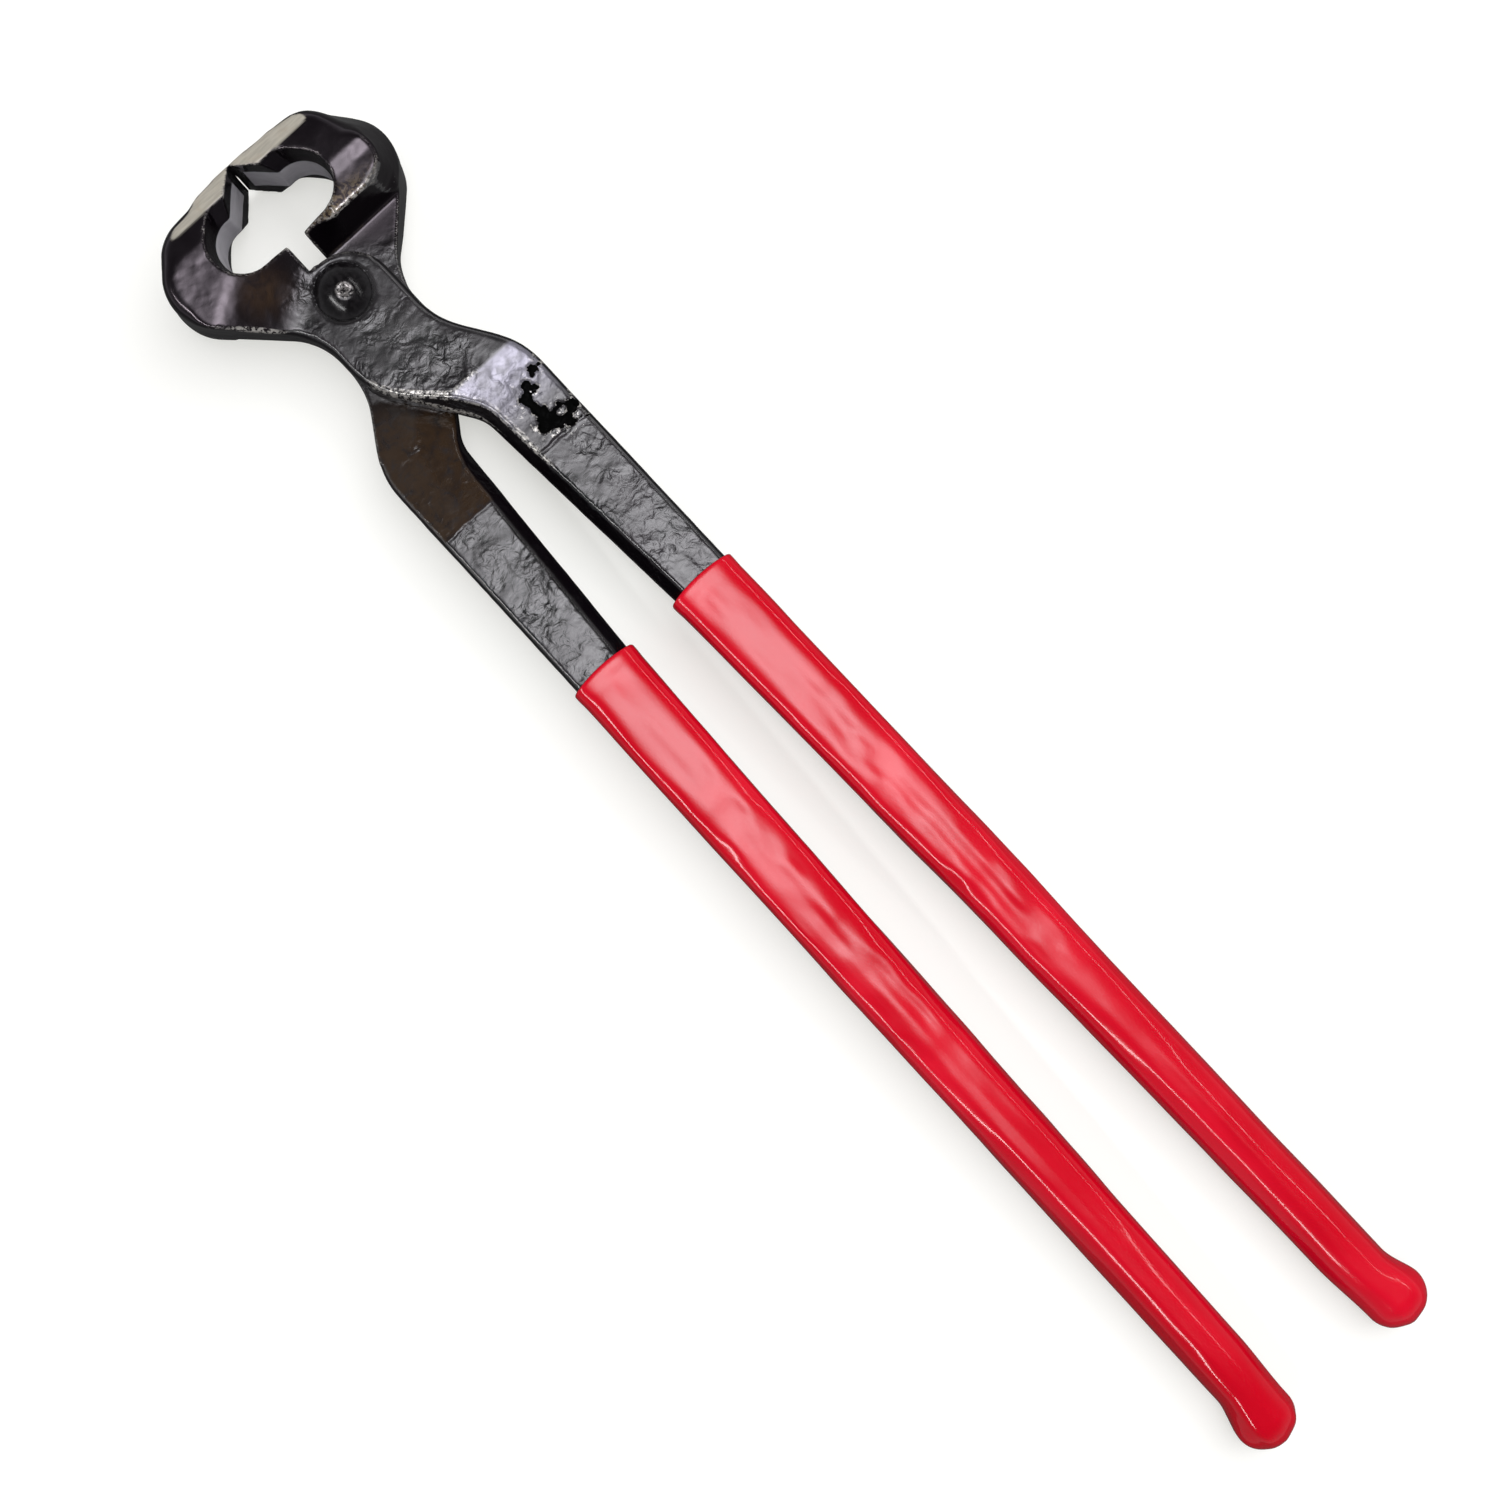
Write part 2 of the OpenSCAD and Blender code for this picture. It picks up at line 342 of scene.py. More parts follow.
def with_blade(body, x, y, z):
    """Cuts the opening, the bevel that leads to the edge, the gap between the blades and the slot."""
    body = soft_max(body, -opening_distance(x, y, z), 0.5)
    gap = mix(0.0, PART_GAP, smoothstep(TOUCH_Y, PART_Y, y))
    bevel = (EDGE_Y - y + x + gap) * math.sqrt(0.5)
    body = np.maximum(body, np.minimum(bevel, y - OPENING_Y - OPENING_R))
    body = np.maximum(body, np.minimum(x + gap, y - OPENING_Y + 4))
    slot = np.maximum(-SLOT_X - x, np.maximum(LAP_CENTRE[1] - y, y - OPENING_Y - 2))
    lap_end = np.hypot(x - LAP_CENTRE[0], y - LAP_CENTRE[1]) - NECK_X
    return soft_max(body, -np.maximum(slot, -lap_end), 0.5)


def cheek_distance(y, z):
    """Height above the ground cheek, which rises behind the cutting edge."""
    return np.abs(z) - EDGE_H - (EDGE_Y - y) * CHEEK_SLOPE


def bored(body, x, y, z):
    """Cuts the rivet's hole and the fine groove round the rivet's head."""
    ring = np.hypot(x, y)
    groove = np.hypot(ring - HEAD_R, z - LAP_T) - 0.3
    body = soft_max(body, -groove, 0.3)
    return np.maximum(body, BORE_R - ring)


def lever_field(x, y, z):
    """The upper lever as a field over a grid: x and y vary over its first two axes, z over the last."""
    outline = outline_distance(x, y, lever_outline())[:, :, None]
    x, y = x[:, :, None], y[:, :, None]
    sides = outline + lean_of_sides(x, y, z) * np.maximum(np.abs(z) - 1.0, 0)
    top = z - flat_side_height(x, y)
    under = underside_height(x, y)
    body = blank_distance(x, y, z, sides, top)
    body = with_room_for_other_lever(body, x, y, z, under)
    body = chamfered(body, x, y, sides, top, under - z)
    body = with_blade(body, x, y, z)
    body = np.maximum(body, cheek_distance(y, z))
    body = np.maximum(body, y - EDGE_Y)
    body = bored(body, x, y, z)
    slimmer = UNDER_GRIP * smoothstep(MOUTH_Y - 3, MOUTH_Y - 8, y)
    return body + (slimmer + UNDER_CURL * smoothstep(BAR_END + 16, BAR_END + 6, y))


def spread(*stretches):
    """Grid lines at a different pitch along each (start, end, pitch) stretch."""
    lines = []
    for start, end, pitch in stretches:
        n = round((end - start) / pitch)
        lines += [start + (end - start) * i / n for i in range(n)]
    return np.array(lines + [stretches[-1][1]])


def mesh_from_field(field, xs, ys, zs):
    """Vertices in mm and quads of the field's zero surface."""
    x, y = np.meshgrid(xs, ys, indexing="ij")
    values = field(x, y, zs[None, None, :])
    grid = openvdb.FloatGrid(float(np.abs(values).max()))
    grid.copyFromArray(values.astype(np.float32))
    points, quads = grid.convertToQuads(0.0)
    vertices = np.stack(
        [np.interp(points[:, i], np.arange(len(line)), line) for i, line in enumerate((xs, ys, zs))], axis=1
    )
    return vertices, quads.astype(np.int64)


def vertex_normals(vertices, quads):
    a, b, c, d = (vertices[quads[:, i]] for i in range(4))
    face = np.cross(c - a, d - b)
    normals = np.zeros_like(vertices)
    for i in range(4):
        for axis in range(3):
            normals[:, axis] += np.bincount(quads[:, i], face[:, axis], len(vertices))
    return normals / np.maximum(np.linalg.norm(normals, axis=1), 1e-12)[:, None]


def outward(vertices, quads):
    """The quads, turned round if they face inwards."""
    a, b, c, d = (vertices[quads[:, i]] for i in range(4))
    volume = np.einsum("ij,ij->", (a + b + c + d) / 4, np.cross(c - a, d - b))
    return quads if volume > 0 else quads[:, ::-1]


def neighbour_average(values, quads):
    """Average of each vertex's neighbours along the quads' sides."""
    count = len(values)
    columns = values.reshape(count, -1)
    total = np.zeros_like(columns)
    number = np.zeros(count)
    for i in range(4):
        here, there = quads[:, i], quads[:, (i + 1) % 4]
        for a, b in ((here, there), (there, here)):
            number += np.bincount(a, minlength=count)
            for axis in range(columns.shape[1]):
                total[:, axis] += np.bincount(a, columns[b, axis], count)
    return (total / np.maximum(number, 1)[:, None]).reshape(values.shape)


def sharpness(vertices, quads, normals):
    """How far each vertex stands out from its surroundings: above 0 on edges, below 0 in corners."""
    bulge = np.einsum("ij,ij->i", vertices - neighbour_average(vertices, quads), normals)
    for _ in range(2):
        bulge = neighbour_average(bulge, quads)
    return bulge


# ---- pieces ----

def new_piece(name, vertices_mm, faces, material, body, node, attributes=None):
    """A smooth-shaded mesh object that stands for a CAD node."""
    mesh = bpy.data.meshes.new(name)
    vertices = vertices_mm * MM + PIVOT
    if isinstance(faces, np.ndarray):
        mesh.vertices.add(len(vertices))
        mesh.vertices.foreach_set("co", vertices.astype(np.float32).ravel())
        mesh.loops.add(faces.size)
        mesh.loops.foreach_set("vertex_index", faces.astype(np.int32).ravel())
        mesh.polygons.add(len(faces))
        mesh.polygons.foreach_set("loop_start", np.arange(0, faces.size, 4, dtype=np.int32))
        mesh.update(calc_edges=True)
    else:
        mesh.from_pydata(vertices.tolist(), [], faces)
    mesh.validate()
    mesh.polygons.foreach_set("use_smooth", np.ones(len(mesh.polygons), bool))
    for key, values in (attributes or {}).items():
        layer = mesh.attributes.new(key, "FLOAT", "POINT")
        layer.data.foreach_set("value", values.astype(np.float32))
    piece = bpy.data.objects.new(name, mesh)
    bpy.context.scene.collection.objects.link(piece)
    piece.data.materials.append(material)
    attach(piece, body)
    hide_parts(node)
    return piece


def half_turn(vertices):
    """The other lever's place: half a turn about Y."""
    return vertices * np.array([-1, 1, -1])


def flaking(x, y, z, ragged):
    """Above 0 where the scale has flaked off beside the outer edge of the upper lever's slope."""
    patch = np.maximum(np.abs(x - 17.2) - 4.6, np.abs(y + 49.6) - 7.4 - 0.4 * (x - 16.4))
    patch = np.maximum(patch, STEP_Y1 + 0.6 - y)
    island = np.hypot((x - 20.2) / 0.9, y + 48.2) - 4.6
    below = 9 * (z < 0)            # only the top has flaked
    return np.minimum(-patch, island) - 0.3 + 2.6 * ragged - below


def brown_share(x, y, z, flip):
    """How brown the oil has gone: on the upper lever's jaw, and the lower lever's horn and slope."""
    jaw = np.exp(-(((x + 13.5) / 5) ** 2 + ((y - 11.5) / 4.5) ** 2))
    horn = 0.5 * np.exp(-(((x + 9) / 9) ** 2 + ((y - 14.0) / 1.8) ** 2))
    slope = smoothstep(-16, -32, y) * smoothstep(STEP_Y1 - 0.5, STEP_Y1 + 0.5, y)
    return np.clip(horn + slope, 0, 1) * (z < 1) if flip else jaw * (z > 0)


def worn_share(x, y, z, flip):
    """How far the edges are rubbed: most along the upper lever's crossing edge."""
    everywhere = 0.25
    if flip:
        horn = np.exp(-(((x + 16) / 8) ** 2 + ((y - 13) / 3) ** 2))
        return everywhere + 0.6 * horn * (z < 0)
    crossing = inner_share(x, y, -16) * smoothstep(-64, -52, y) * 1.6
    crossing += 2.5 * np.exp(-(((y + 37) / 5) ** 2)) * inner_share(x, y, -16)
    flank = np.exp(-(((x + 21) / 5) ** 2 + ((y - 6) / 4) ** 2))
    return everywhere + np.clip(crossing + 0.8 * flank, 0, 3) * (z > 3)


def painted_sheen_share(y, z):
    """How much painted sheen the top of the upper lever's slope gets: a lighter colour stands in for the
    overhead light mirrored in it.
    """
    return smoothstep(STEP_Y0 + 0.3, STEP_Y0 - 0.8, y) * smoothstep(-54, -38, y) * (z > 3)


def ground_share(vertices, normals):
    """1 on the faces that are ground bare: the cheeks and the front."""
    y, z = vertices[:, 1], vertices[:, 2]
    front = smoothstep(-1.7, -1.4, y - EDGE_Y) * smoothstep(0.90, 0.95, normals[:, 1])
    ground = np.maximum(smoothstep(-0.12, -0.02, cheek_distance(y, z)), front)
    return ground * smoothstep(26, 30, y)


def forged_skin(vertices, normals, rough, flaked, ragged, seed):
    """The vertices moved by hammer marks, the ledge at the end of the slope and the flaked patch."""
    x, y, z = vertices.T
    hammer = 0.05 * layered_noise(vertices, 9.0, seed) + 0.025 * layered_noise(vertices, 2.2, seed + 5)
    from_step = (y - STEP_Y1 + 0.4 * ragged) / 0.45
    ledge = 0.22 * np.exp(-(from_step ** 2)) * (x > 0) * (np.abs(normals[:, 2]) > 0.8)
    sunk = 0.2 * smoothstep(-0.3, 0.4, flaked)
    running = (np.abs(z - LAP_GAP / 2) < 0.3) * (y > -32)     # the face that turns on the other lever
    return vertices + normals * ((hammer + ledge - sunk) * rough * ~running)[:, None]


def straighten_edge(moved, vertices, flip):
    """Sets the cutting edge on the middle in its upper part and just clear of it in its lower part."""
    x, y, z = vertices.T
    tip = (x > -0.5) * (y > EDGE_Y - 0.5) * (np.abs(z) < EDGE_H - 0.2)
    open_below = LOWER_EDGE_GAP * smoothstep(3, -1, -z if flip else z)
    moved[tip, 0] = -open_below[tip]
    moved[tip, 1] = EDGE_Y


def lever_wear_and_painted_light(vertices, quads, normals, flip):
    """Where the lever is rubbed or stained, and where light and shade are painted on it: one number per
    vertex for each name.
    """
    x, y, z = vertices.T
    edge = sharpness(vertices, quads, normals)
    upright = np.abs(normals[:, 2])
    facing = smoothstep(0.6, 0.85, upright)
    # side: 1 on the upright faces; the material darkens them and dims their reflections, as painted shade
    side = 1 - smoothstep(0.62, 0.84, upright)
    # rim and the ridge are painted highlights: lighter grey along the chamfers and the shoulder's outer
    # ridge stands in for light caught by these edges
    rim = np.exp(-(((upright - 0.86) / 0.08) ** 2)) * (1 - inner_share(x, y, -20)) * (y < 2)
    painted_ridge_highlight = (edge > 0.006) * (z < -3) * (y < 15) * smoothstep(-17, -21, x)
    gold = np.exp(-(((x + 12) / 9) ** 2 + ((y - 14) / 2.5) ** 2)) * (z < 0) * facing
    # the middle band of the opening's walls gets a painted reflection of the floor
    in_opening = (x > -18) * (y > 14) * (y < EDGE_Y - 1.8)
    return {
        "edge": edge * worn_share(x, y, z, flip),
        "brown": brown_share(x, y, z, flip) * facing,
        "gold": gold * flip,
        "side": side,
        "rim": np.maximum(rim, 0.9 * painted_ridge_highlight),
        "jaw": smoothstep(6, 16, 0.85 * y - 0.5 * x) * smoothstep(-9, 0, y),
        "wall": side * smoothstep(6.3, 5.7, np.abs(z)) * in_opening,
        "bright": painted_sheen_share(y, z) * (not flip),
    }


def forged_lever(name, flip, seed, material, body, node):
    """One lever. The lower one (flip) is shaped as the upper one and then turned over."""
    vertices, quads = LEVER
    normals = vertex_normals(vertices, quads)
    ground = ground_share(vertices, normals)
    ragged = layered_noise(vertices, 2.0, seed + 9)
    not_flaked = np.full(len(vertices), -5.0)
    flaked = not_flaked if flip else flaking(*vertices.T, ragged)
    moved = forged_skin(vertices, normals, 1 - ground, flaked, ragged, seed)
    straighten_edge(moved, vertices, flip)
    placed = half_turn(moved) if flip else moved
    attributes = {"ground": ground, "flaked": flaked, **lever_wear_and_painted_light(vertices, quads, normals, flip)}
    return new_piece(name, placed, quads, material, body, node, attributes)


def ring_faces(rings):
    """Quads between rings of points, with a fan to the first and the last single point."""
    faces = []
    first, last = 0, 1 + rings * AROUND
    for j in range(AROUND):
        k = (j + 1) % AROUND
        faces.append((first, 1 + k, 1 + j))
        faces.append((last, last - AROUND + j, last - AROUND + k))
        for i in range(rings - 1):
            a = 1 + i * AROUND
            faces.append((a + j, a + k, a + AROUND + k, a + AROUND + j))
    return faces


def grip_stations(wall):
    """(y, centre x, half width, half height, squareness) along the grip, wall mm inside its skin."""
    cap_y = GRIP_END + CAP_R
    straight_out = 26.2            # where the outer side would end if it didn't curl out
    rows = []
    for y in np.linspace(MOUTH_Y, cap_y, 330):
        t = (MOUTH_Y - y) / (MOUTH_Y - cap_y + 12)      # 0 at the mouth, nearly 1 at the end
        inner = 6.43 + 7.93 * t - 1.86 * t * t + 0.9 * smoothstep(cap_y + 18, cap_y, y)
        bulge = (GRIP_OUT - straight_out) * smoothstep(cap_y + 10, cap_y, y)
        outer = 24.35 + 2.6 * t - 0.85 * t * t + bulge
        height = GRIP_H + 0.35 * smoothstep(0.1, 0.6, t)
        square = mix(4.6, 2.05, smoothstep(0.12, 0.75, t))
        rows.append((y, (inner + outer) / 2, (outer - inner) / 2 - wall, height - wall, square))
    y, centre, width, height, square = rows[-1]
    for turn in np.radians(np.linspace(6, 84, 14)):
        down, round_off = CAP_R - wall, math.cos(turn)
        rows.append((y - down * math.sin(turn), centre, width * round_off, height * round_off, square))
    return rows


def section(station, out=0.0):
    """A rounded rectangle round the bar at one station, as evenly spaced x, y, z rows."""
    y, centre, width, height, square = station
    turn = np.linspace(0, 2 * math.pi, 721)
    c, s = np.cos(turn), np.sin(turn)
    x = np.sign(c) * np.abs(c) ** (2 / square) * (width + out)
    z = np.sign(s) * np.abs(s) ** (2 / square) * (height + out)
    run = np.concatenate([[0.0], np.cumsum(np.hypot(np.diff(x), np.diff(z)))])
    stops = np.arange(AROUND) * run[-1] / AROUND
    x, z = np.interp(stops, run, x), np.interp(stops, run, z)
    arch = 0.9 * (1 - (x / (width + out)) ** 2) * smoothstep(MOUTH_Y - 12, MOUTH_Y, y)
    return np.stack([centre + x, np.full(AROUND, y) + arch, z], axis=1)


def grip_shell():
    """A closed sleeve: up the outside from the end to the mouth, over the lip and down the inside."""
    outside = grip_stations(0.0)
    inside = grip_stations(WALL)
    end_x = outside[-1][1]
    rings = [section(st, LIP * smoothstep(3.5, 1.0, MOUTH_Y - st[0])) for st in outside[::-1]]
    for turn in np.radians((25, 55, 85)):
        out = LIP - 0.7 * (1 - math.cos(turn))
        lip = section(outside[0], out)
        lip[:, 1] += 0.55 * math.sin(turn)
        rings.append(lip)
    rings += [section(st) for st in inside[4::6]]
    rings.append(section(inside[-1]))
    first = np.array([[end_x, GRIP_END, 0.0]])
    last = np.array([[end_x, GRIP_END + WALL, 0.0]])
    vertices = np.concatenate([first] + rings + [last])
    return vertices, ring_faces(len(rings))


def outside_normals(vertices, faces):
    """Normals of a mesh of triangles and quads, worked out by Blender."""
    mesh = bpy.data.meshes.new("scratch")
    mesh.from_pydata(vertices.tolist(), [], faces)
    normals = np.zeros(len(vertices) * 3, np.float32)
    mesh.vertex_normals.foreach_get("vector", normals)
    bpy.data.meshes.remove(mesh)
    return normals.reshape(-1, 3).astype(float)


def along_bar(vertices, share):
    """The vertices with y shrunk to this share, so that noise on them is stretched along the bar."""
    return vertices * np.array([1.0, share, 1.0])


def grip_ripple(vertices, normals, seed, kinked):
    """How far each point of the skin stands out: ripples, long strokes, and one crease if it is kinked."""
    y = vertices[:, 1]
    long = along_bar(vertices, 0.28)
    ripple = 0.14 * noise(long, 6.0, seed) + 0.05 * noise(long, 2.5, seed + 3)
    strokes = noise(along_bar(vertices, 0.06), 2.6, seed + 7)
    ripple += 0.22 * strokes * smoothstep(MOUTH_Y - 45, MOUTH_Y - 110, y)
    wavy = smoothstep(WAVY_Y[0], WAVY_Y[1], y) * smoothstep(WAVY_Y[3], WAVY_Y[2], y)
    wavy = wavy * smoothstep(0.6, 0.95, np.abs(normals[:, 2]))
    ripple += 0.15 * wavy * noise(along_bar(vertices, 0.45), 2.8, seed + 13)
    if kinked:
        from_kink = vertices[:, :2] - np.array(KINK)
        crease = from_kink[:, 0] - 0.05 * from_kink[:, 1] ** 2
        crease = np.exp(-((crease / 0.9) ** 2) - (from_kink[:, 1] / 4) ** 2)
        ripple -= 0.8 * crease * (normals[:, 2] > 0.3)
    return ripple


def dipped_grip(name, flip, seed, material, body, node):
    """One grip. The lower one (flip) is shaped as the upper one and then turned over."""
    vertices, faces = grip_shell()
    normals = outside_normals(vertices, faces)
    fade = smoothstep(MOUTH_Y, MOUTH_Y - 6, vertices[:, 1])
    ripple = grip_ripple(vertices, normals, seed, kinked=not flip)
    moved = vertices + normals * (ripple * fade)[:, None]
    placed = half_turn(moved) if flip else moved
    return new_piece(name, placed, faces, material, body, node)


def rivet_profile(seat, shank):
    """(radius, z) from the top of the upper dome down to the bottom of the lower one."""
    rim = 0.5
    rise = HEAD_TOP - seat - rim
    ball_r = (HEAD_R ** 2 + rise ** 2) / (2 * rise)
    profile = []
    for share in np.linspace(0.04, 0.985, 30):
        r = share * HEAD_R
        profile.append((r, HEAD_TOP - ball_r + math.sqrt(ball_r ** 2 - r ** 2)))
    profile += [(HEAD_R, seat + rim - 0.15), (HEAD_R, seat + 0.15), (HEAD_R - 0.25, seat), (shank, seat)]
    return profile + [(r, -z) for r, z in profile[::-1]]


def set_rivet(name, seed, material, body, node):
    """Two domed heads on a shank, with the hammer's last marks on the domes."""
    seat, shank = LAP_T + 0.05, BORE_R - 0.05
    turns = np.arange(AROUND) * 2 * math.pi / AROUND
    c, s, level = np.cos(turns), np.sin(turns), np.ones(AROUND)
    rings = [np.stack([r * c, r * s, z * level], axis=1) for r, z in rivet_profile(seat, shank)]
    ends = np.array([[0.0, 0.0, HEAD_TOP]]), np.array([[0.0, 0.0, -HEAD_TOP]])
    vertices = np.concatenate([ends[0]] + rings + [ends[1]])
    faces = [face[::-1] for face in ring_faces(len(rings))]
    x, y, z = vertices.T
    crown = smoothstep(2.3, 1.4, np.hypot(x - CROWN[0], y - CROWN[1]))
    sunk = 0.16 * crown * (0.5 + noise(vertices, 1.3, seed + 2))
    marks = np.random.default_rng(seed)
    for depth, size in ((0.06, 0.5), (-0.05, 0.45), (0.05, 0.4), (-0.04, 0.4)):
        spot = marks.normal(0, 0.9, 2) + np.array(CROWN)
        away = np.hypot(x - spot[0], y - spot[1])
        sunk += depth * np.exp(-((away / size) ** 4))
    dents = 0.02 * noise(vertices, 4.2, seed)
    side = np.sign(z) * (np.abs(z) > seat + 0.2)
    moved = vertices.copy()
    moved[:, 2] -= (sunk - dents) * side
    worn = {"crown": crown * (z > 0)}
    return new_piece(name, moved, faces, material, body, node, worn)


# ---- materials ----

class Nodes:
    """A short way to build a node material: most methods add a node and return its output."""

    def __init__(self, name):
        self.material = bpy.data.materials.new(name)
        self.material.use_nodes = True
        self.tree = self.material.node_tree
        self.tree.nodes.clear()
        output = self.add("ShaderNodeOutputMaterial")
        self.shader = self.add("ShaderNodeBsdfPrincipled")
        self.link(self.shader.outputs[0], output.inputs["Surface"])
        self.position = self.add("ShaderNodeTexCoord").outputs["Object"]

    def add(self, kind, **settings):
        node = self.tree.nodes.new(kind)
        for key, value in settings.items():
            setattr(node, key, value)
        return node

    def link(self, source, target):
        self.tree.links.new(source, target)

    def feed(self, target, value):
        if isinstance(value, bpy.types.NodeSocket):
            self.link(value, target)
        else:
            target.default_value = value

    def math(self, operation, a, b):
        node = self.add("ShaderNodeMath", operation=operation)
        self.feed(node.inputs[0], a)
        self.feed(node.inputs[1], b)
        return node.outputs[0]

    def times(self, a, b):
        return self.math("MULTIPLY", a, b)

    def larger(self, a, b):
        return self.math("MAXIMUM", a, b)

    def rest_of(self, share):
        return self.math("SUBTRACT", 1.0, share)

    def span(self, value, low, high, to_low=0.0, to_high=1.0):
        """Goes smoothly from to_low to to_high as the value goes from low to high."""
        node = self.add("ShaderNodeMapRange", interpolation_type="SMOOTHSTEP")
        self.feed(node.inputs["Value"], value)
        node.inputs["From Min"].default_value = low
        node.inputs["From Max"].default_value = high
        self.feed(node.inputs["To Min"], to_low)
        self.feed(node.inputs["To Max"], to_high)
        return node.outputs["Result"]

    def mix(self, share, a, b):
        node = self.add("ShaderNodeMix", data_type="RGBA")
        self.feed(node.inputs["Factor"], share)
        self.feed(node.inputs["A"], a)
        self.feed(node.inputs["B"], b)
        return node.outputs["Result"]

    def blend(self, share, a, b):
        node = self.add("ShaderNodeMix", data_type="FLOAT")
        self.feed(node.inputs["Factor"], share)
        self.feed(node.inputs["A"], a)
        self.feed(node.inputs["B"], b)
        return node.outputs["Result"]

    def noise(self, size_mm, detail=4.0, roughness=0.55, distortion=0.0, stretch=(1, 1, 1)):
        vector = self.position
        if stretch != (1, 1, 1):
            scale = self.add("ShaderNodeMapping")
            scale.inputs["Scale"].default_value = stretch
            self.link(self.position, scale.inputs["Vector"])
            vector = scale.outputs["Vector"]
        node = self.add("ShaderNodeTexNoise")
        self.link(vector, node.inputs["Vector"])
        node.inputs["Scale"].default_value = 1 / (size_mm * MM)
        node.inputs["Detail"].default_value = detail
        node.inputs["Roughness"].default_value = roughness
        node.inputs["Distortion"].default_value = distortion
        return node.outputs["Fac"]

    def attribute(self, name):
        return self.add("ShaderNodeAttribute", attribute_name=name).outputs["Fac"]

    def bump(self, height, distance_mm, strength=1.0, normal=None):
        node = self.add("ShaderNodeBump")
        self.feed(node.inputs["Height"], height)
        node.inputs["Distance"].default_value = distance_mm * MM
        self.feed(node.inputs["Strength"], strength)
        if normal is not None:
            self.link(normal, node.inputs["Normal"])
        return node.outputs["Normal"]

    def set(self, **inputs):
        """Gives the shader's inputs their values, with _ for a space in their names."""
        for key, value in inputs.items():
            self.feed(self.shader.inputs[key.replace("_", " ")], value)


def scale_colour(n, cloud, jaw, side, rusty, worn, painted_slope_sheen):
    """Colour of the black scale, with painted shade, highlights, reflection and sheen: each line lays one
    thing over those before it.
    """
    black = n.mix(n.span(cloud, 0.4, 0.62), (0.007, 0.006, 0.007, 1), (0.020, 0.018, 0.020, 1))
    # Darker on the jaw, and darker still on the upright side faces as painted shade
    black = n.mix(n.larger(n.times(jaw, 0.8), side), black, (0.003, 0.002, 0.003, 1))
    black = n.mix(rusty, black, (0.030, 0.017, 0.009, 1))
    # Painted reflection: a pale grey band in the middle of the opening's walls stands in for the floor
    # mirrored in them
    painted_wall_reflection = n.mix(cloud, (0.42, 0.41, 0.45, 1), (0.80, 0.78, 0.82, 1))
    black = n.mix(n.attribute("wall"), black, painted_wall_reflection)
    # Painted highlight: lighter grey along the chamfers and the shoulder's ridge
    black = n.mix(n.times(n.attribute("rim"), 0.6), black, (0.12, 0.12, 0.12, 1))
    gold = n.times(n.attribute("gold"), n.span(n.noise(1.8, 4, 0.6, 1.2), 0.42, 0.62))
    black = n.mix(gold, black, (0.15, 0.115, 0.07, 1))
    black = n.mix(n.times(worn, 0.8), black, (0.70, 0.67, 0.63, 1))
    # Painted sheen: light grey-violet on the upper lever's slope
    return n.mix(n.times(painted_slope_sheen, 0.8), black, (0.28, 0.27, 0.33, 1))


def ground_colour(n, grain):
    """Colour of the bare ground steel, with warm stains."""
    steel = n.mix(n.span(grain, 0.3, 0.7), (0.45, 0.42, 0.355, 1), (0.57, 0.535, 0.455, 1))
    stain = n.noise(5.0, 4, 0.6, 0.6)
    return n.mix(n.span(stain, 0.55, 0.75, 0.0, 0.6), steel, (0.48, 0.40, 0.30, 1))


def forged_relief(n, ground, jaw, bright, grain):
    """Normals for the steel and for the oil on it, from three sizes of bump on the black scale."""
    smooth = n.larger(ground, n.times(bright, 0.5))
    uneven = n.times(n.span(n.noise(9, 3), 0.35, 0.65, 0.15, 1.0), n.span(jaw, 0, 1, 1.0, 0.12))
    strength = n.times(n.rest_of(smooth), uneven)
    swells = n.bump(n.noise(8, 2, 0.5, 0.8), 0.6, strength)
    wrinkles = n.bump(n.noise(2.4, 3, 0.5, 0.7), 0.22, strength, swells)
    fine = n.bump(n.noise(0.8, 2, 0.5, 0.4), 0.05, strength, wrinkles)
    n.set(Normal=n.bump(grain, 0.01, ground, fine), Coat_Normal=wrinkles)


